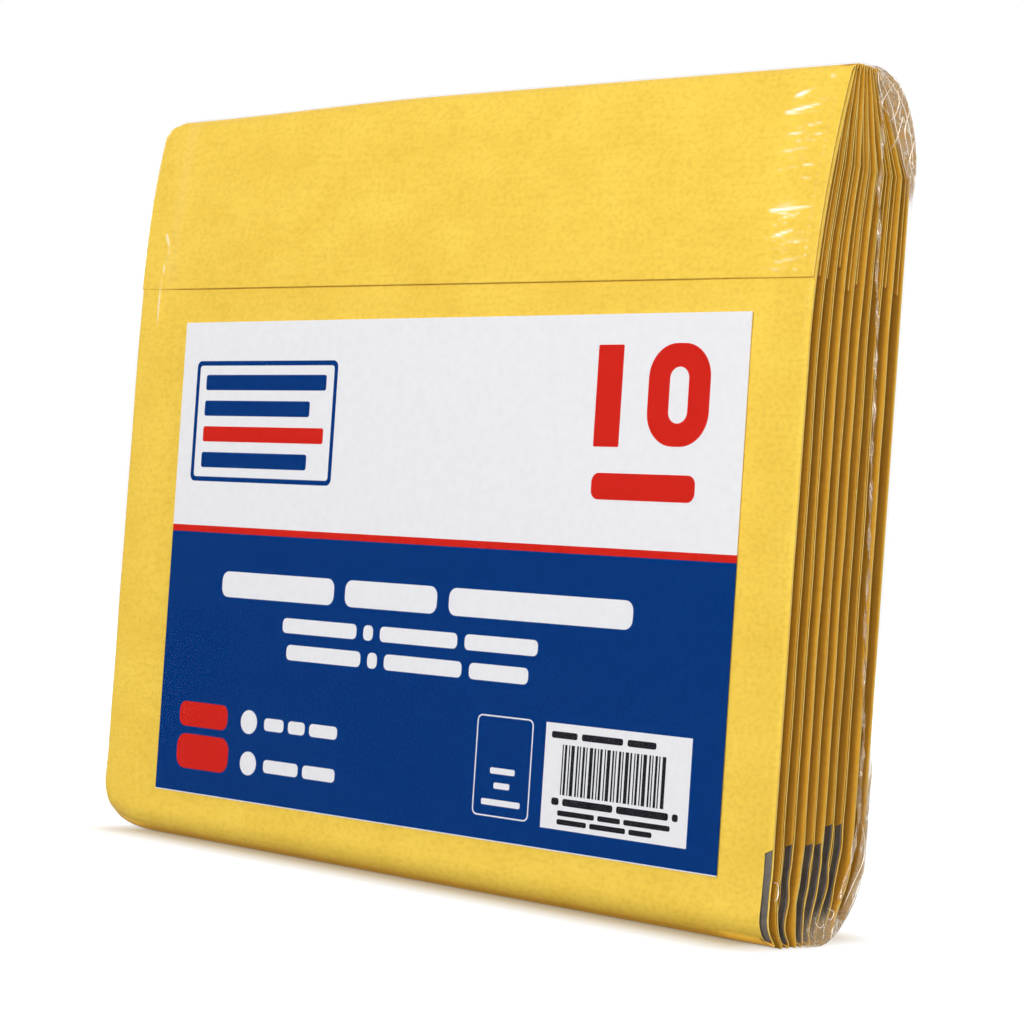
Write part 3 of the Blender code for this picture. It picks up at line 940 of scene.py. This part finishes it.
# Gathered film on the two side faces, mirrored from the right one
WELD_LINE = np.array([
    # depth, height of the crinkled weld from top to foot
    (19.2, 172.5), (20.8, 162.0), (20.9, 150.7), (22.0, 145.0), (21.9, 139.0), (23.0, 129.0), (24.4, 109.0),
    (25.5, 89.0), (26.6, 69.0), (28.0, 49.0), (28.9, 37.0), (29.3, 25.0), (28.1, 17.0), (24.5, 9.0),
]) * MM
STRANDS = (
    # places on the side face as depth and height, in millimetres
    ((23.2, 172.9), (21.0, 170.5), (19.4, 168.8), (18.9, 167.3), (21.9, 165.8)),
    ((26.4, 166.6), (26.0, 164.5), (24.9, 161.9), (22.8, 158.9)),
    ((24.1, 171.4), (24.7, 168.7), (23.3, 165.7), (21.7, 164.6)),
    ((28.6, 168.2), (27.6, 163.5), (29.4, 159.0)),
    ((31.2, 162.6), (30.0, 158.4), (31.6, 155.0)),
    ((16.6, 173.8), (17.6, 171.0), (19.0, 168.6)),
    ((17.4, 174.3), (24.2, 170.6), (29.0, 164.4), (31.6, 156.6)),
    ((17.0, 173.6), (22.0, 168.0), (26.2, 160.4), (29.6, 154.6)),
    ((29.1, 24.8), (31.3, 18.6), (28.4, 12.8), (24.9, 7.9)),
    ((33.1, 23.0), (32.2, 16.4), (29.6, 11.0), (26.8, 6.6)),
    ((19.7, 7.6), (21.9, 6.7), (21.0, 5.3), (19.9, 5.9)),
    ((15.6, 5.2), (17.5, 3.9), (18.9, 4.6)),
    ((1.0, 13.6), (2.3, 13.2), (2.9, 11.8), (2.5, 10.3), (1.5, 10.0)),
)
STRAND_RADIUS = 0.08 * MM
STRAND_LIFT = 0.9 * MM
STRAND_SIDES = 6
WELD_ROWS = 9
WELD_COLUMNS = 420
GATHER_ROWS = 45
GATHER_COLUMNS = 90
SIDE_FACE = FILM_HALF_WIDTH + 0.05 * MM


def folds(a, b, seed, rise):
    """A height from 0 to rise with sharp crests, over two running lengths in metres."""
    chance = np.random.default_rng(seed)
    total = np.zeros(np.broadcast(a, b).shape)
    weight = 0
    for length in (6.5, 3.6, 2.1, 1.2):
        for _ in range(2):
            turn = chance.uniform(-0.9, 0.9)
            phase = chance.uniform(0, 6.3)
            bend = chance.uniform(0.5, 1.4) * np.sin((a + b) / (4.3 * MM) + phase)
            wave = np.sin(math.pi * (a * math.cos(turn) + b * math.sin(turn)) / (length * MM) + phase + bend)
            total = total + length * (1 - np.abs(wave))
            weight += length
    return rise * total / weight


def film_end(z):
    return film_rear(HALF_WIDTH, z)


def gather_line(surface, behind_top, behind_foot, top, foot):
    """Depths and heights down a line behind a surface. The numbers are millimetres."""
    z = np.linspace(top, foot, GATHER_COLUMNS) * MM
    return surface(z) + np.linspace(behind_top, behind_foot, GATHER_COLUMNS) * MM, z


GATHERS = {
    # inner line, outer line, seed, rise
    "top": ((rear_depth, -4.5, -2.0, 173.5, 151.5), (film_end, -0.3, -0.3, 174.5, 150.5), 3, 0.9 * MM),
    "foot": ((rear_depth, -0.2, -4.4, 38, 5), (film_end, -0.3, -0.3, 38, 1.5), 8, 0.8 * MM),
}


def side_piece(name, side, points, faces, painted_sheen, crumple, material):
    """A fold of the film on one side face. The left one mirrors the right one."""
    word = "right" if side > 0 else "left"
    faces = faces if side > 0 else [face[::-1] for face in faces]
    piece = new_piece(f"{name}_{word}", points, faces, [material])
    set_values(piece, "painted_sheen", painted_sheen)
    set_values(piece, "crumple", crumple)
    return piece


def make_gather(name, side, inner, outer, seed, rise, material):
    """Crumpled film over the side face, between two lines."""
    shares = np.linspace(0, 1, GATHER_COLUMNS)
    across = np.linspace(0, 1, GATHER_ROWS)[:, None]
    depth, z = ((1 - across) * a + across * b for a, b in zip(gather_line(*inner), gather_line(*outer)))
    ends = smooth(0, 0.12, shares) * smooth(1, 0.72, shares)
    fade = smooth(0, 0.35, across) * ends
    out = folds(z, depth, seed, rise) * (0.12 + 0.88 * np.sin(math.pi * across) ** 0.6 * ends)
    points = place(side * (SIDE_FACE + out), depth, z)
    # Painted sheen: white glints on the highest crests of the folds
    painted_sheen = fade * (0.02 + 0.8 * unit(out / rise - 0.66))
    piece = side_piece(name, side, points, grid_faces(*depth.shape), painted_sheen, fade, material)
    thicken(piece, FILM, 0)


def make_weld(side, material):
    """The weld of the film: a narrow crinkled fin, folded flat onto the side face."""
    heights = np.linspace(WELD_LINE[-1, 1], WELD_LINE[0, 1], WELD_COLUMNS)
    centre = np.interp(heights, WELD_LINE[::-1, 1], WELD_LINE[::-1, 0])
    centre = centre + 0.35 * MM * sine(heights, 3.7) * sine(heights, 9.1)
    slow, quick = (np.abs(np.sin(heights / length)) for length in (6.3 * MM, 1.7 * MM))
    wide = (0.14 + 0.12 * slow + 0.10 * quick) * MM
    wide = wide * (1 + 0.9 * ease(50, 30, heights) + 0.5 * ease(135, 155, heights))
    share = np.linspace(1, -1, WELD_ROWS)[:, None]
    crest = 1 - np.abs(share)
    out = crest * (0.30 + 0.35 * np.abs(np.sin(heights / (1.15 * MM) + 2.2 * share))) * MM
    wander = 0.22 * MM * np.sin(heights / (1.4 * MM) + 3 * share)
    points = place(side * (SIDE_FACE + out), centre + share * wide + wander, heights)
    # Painted glints along the weld's crest
    glint = unit(0.3 + sine(heights, 2.3) * sine(heights, 7.9))
    painted_sheen = 0.01 + 0.11 * crest**2 * glint
    crumple = np.broadcast_to(0.25 + 0.4 * crest, out.shape)
    piece = side_piece("film_weld", side, points, grid_faces(*out.shape), painted_sheen, crumple, material)
    thicken(piece, FILM, 0)


def curve(knots, at):
    """Smooth line through the knots, at places counted in knots."""
    padded = np.concatenate([[2 * knots[0] - knots[1]], knots, [2 * knots[-1] - knots[-2]]])
    first = np.minimum(at.astype(int), len(knots) - 2)
    t = (at - first)[:, None]
    a, b, c, d = (padded[first + n] for n in range(4))
    return (b + 0.5 * t * (c - a + t * (2 * a - 5 * b + 4 * c - d + t * (3 * (b - c) + d - a)))).T


def make_strands(side, material):
    """Sharp folds in the gathered film, as thin ridges, painted white as a glint along each."""
    points, faces = [], []
    ring = np.linspace(0, 2 * math.pi, STRAND_SIDES, endpoint=False)[:, None]
    for line in STRANDS:
        knots = np.array(line) * MM
        at = np.linspace(0, len(knots) - 1, 14 * (len(knots) - 1))
        depth, z = curve(knots, at)
        depth = depth + 0.12 * MM * sine(z, 1.1)
        across = np.stack([np.gradient(z), -np.gradient(depth)])
        across = across / np.hypot(*across)
        radius = STRAND_RADIUS * np.sin(math.pi * (at / at[-1] * 0.96 + 0.02)) ** 0.5
        out = SIDE_FACE + STRAND_LIFT + radius * np.sin(ring)
        aside = radius * np.cos(ring)
        tube = len(points) + np.arange(out.size).reshape(out.shape)
        points += list(place(side * out, depth + across[0] * aside, z + across[1] * aside).reshape(-1, 3))
        faces += quads(np.concatenate([tube, tube[:1]]))
        faces += [tuple(tube[:, 0].tolist()), tuple(tube[::-1, -1].tolist())]
    side_piece("film_folds", side, points, faces, np.full(len(points), 0.7), np.zeros(len(points)), material)


def make_gathers(material):
    for side in (1, -1):
        for word, gather in GATHERS.items():
            make_gather(f"film_gather_{word}", side, *gather, material)
        make_weld(side, material)
        make_strands(side, material)


# Print on the card
class Print:
    """Flat shapes of ink, in millimetres from the card's centre."""

    def __init__(self):
        self.points = []
        self.faces = []
        self.inks = []

    def prism(self, outline, ink):
        """A closed prism over one convex outline, counter-clockwise."""
        start = len(self.points)
        count = len(outline)
        for back in (0, 1):
            self.points += [(u, v, back) for u, v in outline]
        self.faces.append(tuple(start + i for i in range(count)))
        self.faces.append(tuple(start + count + i for i in reversed(range(count))))
        self.wall(start + count, start, count)
        self.inks += [ink] * (count + 2)

    def wall(self, first, second, count):
        """Faces between two outlines, whose points start at these numbers."""
        for i in range(count):
            j = (i + 1) % count
            self.faces.append((first + i, first + j, second + j, second + i))

    def bar(self, left, right, low, high, ink, radius=0.0):
        self.prism(rounded(left, right, low, high, radius), ink)

    def row(self, left, low, high, widths, gap, ink):
        """Bars side by side."""
        for width in widths:
            self.bar(left, left + width, low, high, ink, 0.35 * (high - low))
            left += width + gap

    def ring(self, outer, inner, ink):
        """A closed flat ring between two outlines of as many points."""
        start = len(self.points)
        count = len(outer)
        for outline, back in ((outer, 0), (inner, 0), (outer, 1), (inner, 1)):
            self.points += [(u, v, back) for u, v in outline]
        a, b, c, d = (start + n * count for n in range(4))
        for first, second in ((a, b), (b, d), (d, c), (c, a)):
            self.wall(first, second, count)
        self.inks += [ink] * (4 * count)


def rounded(left, right, low, high, radius, steps=6):
    """Outline of a rectangle with round corners, counter-clockwise from the lower right."""
    radius = max(1e-4, radius)
    corners = ((right - radius, low + radius, -90), (right - radius, high - radius, 0))
    corners += ((left + radius, high - radius, 90), (left + radius, low + radius, 180))
    outline = []
    for u, v, start in corners:
        for step in range(steps + 1):
            angle = math.radians(start + 90 * step / steps)
            outline.append((u + radius * math.cos(angle), v + radius * math.sin(angle)))
    return outline


WHITE, RED, BLUE, BLACK = range(4)
DOT_RADIUS = 2.75
DOT_ANGLES = np.linspace(0, 6.09, 33)


def draw_print():
    card = Print()
    # A plain panel at the upper left
    card.ring(rounded(-79.5, -31.5, 18, 46.5, 1.5), rounded(-78.4, -32.6, 19.1, 45.4, 0.8), BLUE)
    for number, ink in enumerate((BLUE, BLUE, RED, BLUE)):
        low = 39.6 - 6.1 * number
        card.bar(-76, -35 - 5 * (number % 2), low, low + 3.6, ink, 0.6)
    # The count: an upright and a ring
    card.bar(45.6, 52.4, 28.3, 49.4, RED, 0.3)
    card.ring(rounded(59.4, 75.3, 28.6, 49.6, 7.0, 10), rounded(64.9, 69.8, 33.3, 44.8, 2.4, 10), RED)
    card.row(45.8, 17.4, 22.9, (27.2,), 2.0, RED)
    # Lines on the blue field
    card.row(-65.5, -8.9, -2.9, (37.5, 28.5, 51.5), 3.6, WHITE)
    card.row(-44.0, -16.0, -12.6, (24.0, 3.0, 23.5, 21.0), 2.2, WHITE)
    card.row(-42.2, -22.1, -18.6, (24.0, 3.0, 23.5, 17.0), 2.2, WHITE)
    card.row(-77.4, -40.0, -34.2, (16.8,), 2.0, RED)
    card.row(-77.6, -49.9, -41.8, (18.0,), 2.0, RED)
    for u, v in ((-53.2, -37.3), (-52.6, -46.8)):
        card.prism([(u + DOT_RADIUS * math.cos(a), v + DOT_RADIUS * math.sin(a)) for a in DOT_ANGLES], WHITE)
    card.row(-48.0, -38.8, -35.9, (6.5, 5.5, 9.0), 1.5, WHITE)
    card.row(-47.4, -48.4, -45.4, (11.5, 10.5), 1.5, WHITE)
    # An empty frame, and a white box with stripes
    card.ring(rounded(18.4, 34.4, -50.6, -29.2, 1.4), rounded(18.7, 34.1, -50.3, -29.5, 1.1), WHITE)
    for low, width in ((-41.5, 7.0), (-44.6, 4.5), (-48.2, 11.0)):
        card.bar(26.4 - width / 2, 26.4 + width / 2, low, low + 1.3, WHITE, 0.4)
    card.bar(37.9, 76.6, -51.2, -29.3, WHITE)
    return card


def draw_stripes():
    """Black stripes of a few regular widths over the white box, and short lines round them."""
    card = Print()
    left = 42.8
    number = 0
    while left < 70.0:
        width = (0.3, 0.6, 0.3, 0.9, 0.45)[number % 5]
        card.bar(left, left + width, -44.0, -33.6, BLACK)
        left += width + (0.35, 0.5, 0.35, 0.6)[number % 4]
        number += 1
    card.row(39.6, -32.4, -31.0, (7.0, 11.0, 7.5), 1.2, BLACK)
    card.row(40.6, -46.2, -44.7, (2.0, 13.5, 13.5, 1.5), 1.0, BLACK)
    card.row(42.4, -48.3, -47.2, (10.0, 6.0, 12.0), 0.9, BLACK)
    card.row(42.4, -50.1, -49.0, (8.0, 9.5, 6.0), 0.9, BLACK)
    return card


def make_print(name, card, lift, inks):
    """Turns the drawing into a thin mesh in front of the card's face."""
    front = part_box("label_card")[0].y
    turn = Matrix.Rotation(LABEL_TURN, 2)
    points = []
    for u, v, back in card.points:
        along, up = turn @ Vector((u * MM, v * MM))
        points.append((LABEL_CENTRE[0] + along, front - lift + back * PRINT_THICKNESS, LABEL_CENTRE[1] + up))
    piece = new_piece(name, points, card.faces, inks)
    piece.data.polygons.foreach_set("material_index", card.inks)
    piece.data.polygons.foreach_set("use_smooth", [False] * len(card.faces))


def make_label():
    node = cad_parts["label_card"]
    node.data.materials.clear()
    node.data.materials.append(label_material())
    inks = ink_materials()
    make_print("label_print", draw_print(), 0.035 * MM, inks)
    make_print("label_stripes", draw_stripes(), 0.07 * MM, inks)


# Stage
FLOOR_SIZE = 3.0
FLOOR_GREY = 0.30
FLOOR_CONTACT = (90 * MM, 14 * MM, 0)
# Glow of the floor by distance from the pack's foot: a warm, dark painted contact shadow at the foot, white
# further out
FLOOR_GLOW_AND_PAINTED_SHADOW = ((0, (0.42, 0.33, 0.20, 1)), (0.013, grey(0.88)), (1, grey(0.96)))
WORLD_STRENGTH = 0.15
LAMP_TARGET = (0, 0, 0.09)
LAMPS = (
    # name, place, size, watts
    ("key", (0.05, -1.42, 0.62), 0.7, 15.6),
    ("side", (0.85, -1.15, 0.35), 0.5, 5.0),
    ("edge", (1.25, -0.12, 0.45), 0.4, 5.1),
    ("rear", (-0.35, 1.40, 0.80), 0.8, 11.0),
    ("left", (-1.30, 0.10, 0.45), 0.5, 5.0),
)


def make_floor():
    """White to the camera, with a painted contact shadow: warmer and darker close to the pack's foot, by
    metres of distance from it.
    """
    mesh = bpy.data.meshes.new("floor")
    corners = [(-1, -1), (1, -1), (1, 1), (-1, 1)]
    mesh.from_pydata([(FLOOR_SIZE * x, FLOOR_SIZE * y, 0) for x, y in corners], [], [(0, 1, 2, 3)])
    material, shading, shader = new_material("floor")
    shading.fill(shader, {"Base Color": grey(FLOOR_GREY), "Roughness": 0.9, "Specular IOR Level": 0.0})
    distance = shading.add("TexCoord", {}, "Object")
    steps = {"ABSOLUTE": {}, "SUBTRACT": {1: FLOOR_CONTACT}, "MAXIMUM": {1: (0, 0, 0)}}
    for operation, values in steps.items():
        distance = shading.add("VectorMath", {0: distance, **values}, operation=operation)
    distance = shading.add("VectorMath", {0: distance}, "Value", operation="LENGTH")
    glow_and_painted_shadow = {"Color": shading.ramp(distance, *FLOOR_GLOW_AND_PAINTED_SHADOW), "Strength": shading.seen_directly()}
    surface = shading.add("AddShader", {0: shader.outputs["BSDF"], 1: shading.add("Emission", glow_and_painted_shadow)})
    shading.fill(shading.nodes["Material Output"], {"Surface": surface})
    mesh.materials.append(material)
    add_object("floor", mesh)


def make_world():
    world = bpy.data.worlds.new("studio")
    world.use_nodes = True
    shading = Shading(world.node_tree)
    lighting = shading.nodes["Background"]
    shading.fill(lighting, {"Color": grey(1), "Strength": WORLD_STRENGTH})
    backdrop = shading.add("Background", {"Color": grey(1), "Strength": 1.0})
    surface = shading.over(shading.seen_directly(), lighting.outputs["Background"], backdrop)
    shading.fill(shading.nodes["World Output"], {"Surface": surface})
    bpy.context.scene.world = world


def make_lamp(name, place_at, size, watts):
    data = bpy.data.lights.new(name, "AREA")
    data.energy = watts
    data.size = size
    lamp = add_object(name, data)
    lamp.location = place_at
    lamp.rotation_euler = (Vector(LAMP_TARGET) - Vector(place_at)).to_track_quat("-Z", "Y").to_euler()


# Camera, fitted to the photograph's perspective
CAMERA_PLACE = (405.23 * MM, -417.61 * MM + CAD_LOW.y, 72.856 * MM)
CAMERA_YAW = math.radians(42.1484)
CAMERA_PITCH = math.radians(0.9294)
CAMERA_ROLL = math.radians(4.1444)
SENSOR_WIDTH = 36.0
FOCAL_LENGTH = 93.595


def make_camera():
    data = bpy.data.cameras.new("camera")
    data.sensor_width = SENSOR_WIDTH
    data.lens = FOCAL_LENGTH
    data.clip_start = 0.01
    data.clip_end = 20
    camera = add_object("camera", data)
    level = math.cos(CAMERA_PITCH)
    ahead = Vector((-math.sin(CAMERA_YAW) * level, math.cos(CAMERA_YAW) * level, math.sin(CAMERA_PITCH)))
    right = Vector((math.cos(CAMERA_YAW), math.sin(CAMERA_YAW), 0))
    turned = Matrix((right, right.cross(ahead), -ahead)).transposed().to_4x4()
    roll = Matrix.Rotation(CAMERA_ROLL, 4, "Z")
    camera.matrix_world = Matrix.Translation(CAMERA_PLACE) @ turned @ roll
    bpy.context.scene.camera = camera


def make_studio():
    make_camera()
    make_world()
    make_floor()
    for lamp in LAMPS:
        make_lamp(*lamp)
    bpy.context.scene.view_settings.view_transform = "Standard"


def make_pack():
    sheet = [kraft_material(), cut_edge_material()]
    lining = lining_material()
    liner = liner_material()
    for index in range(ENVELOPE_COUNT):
        make_envelope(index, sheet)
        make_lining(index, lining)
        make_liner(index, liner)
    make_label()
    gathered = gathered_film_material()
    make_film(smooth_film_material(), gathered)
    make_gathers(gathered)


make_pack()
make_studio()
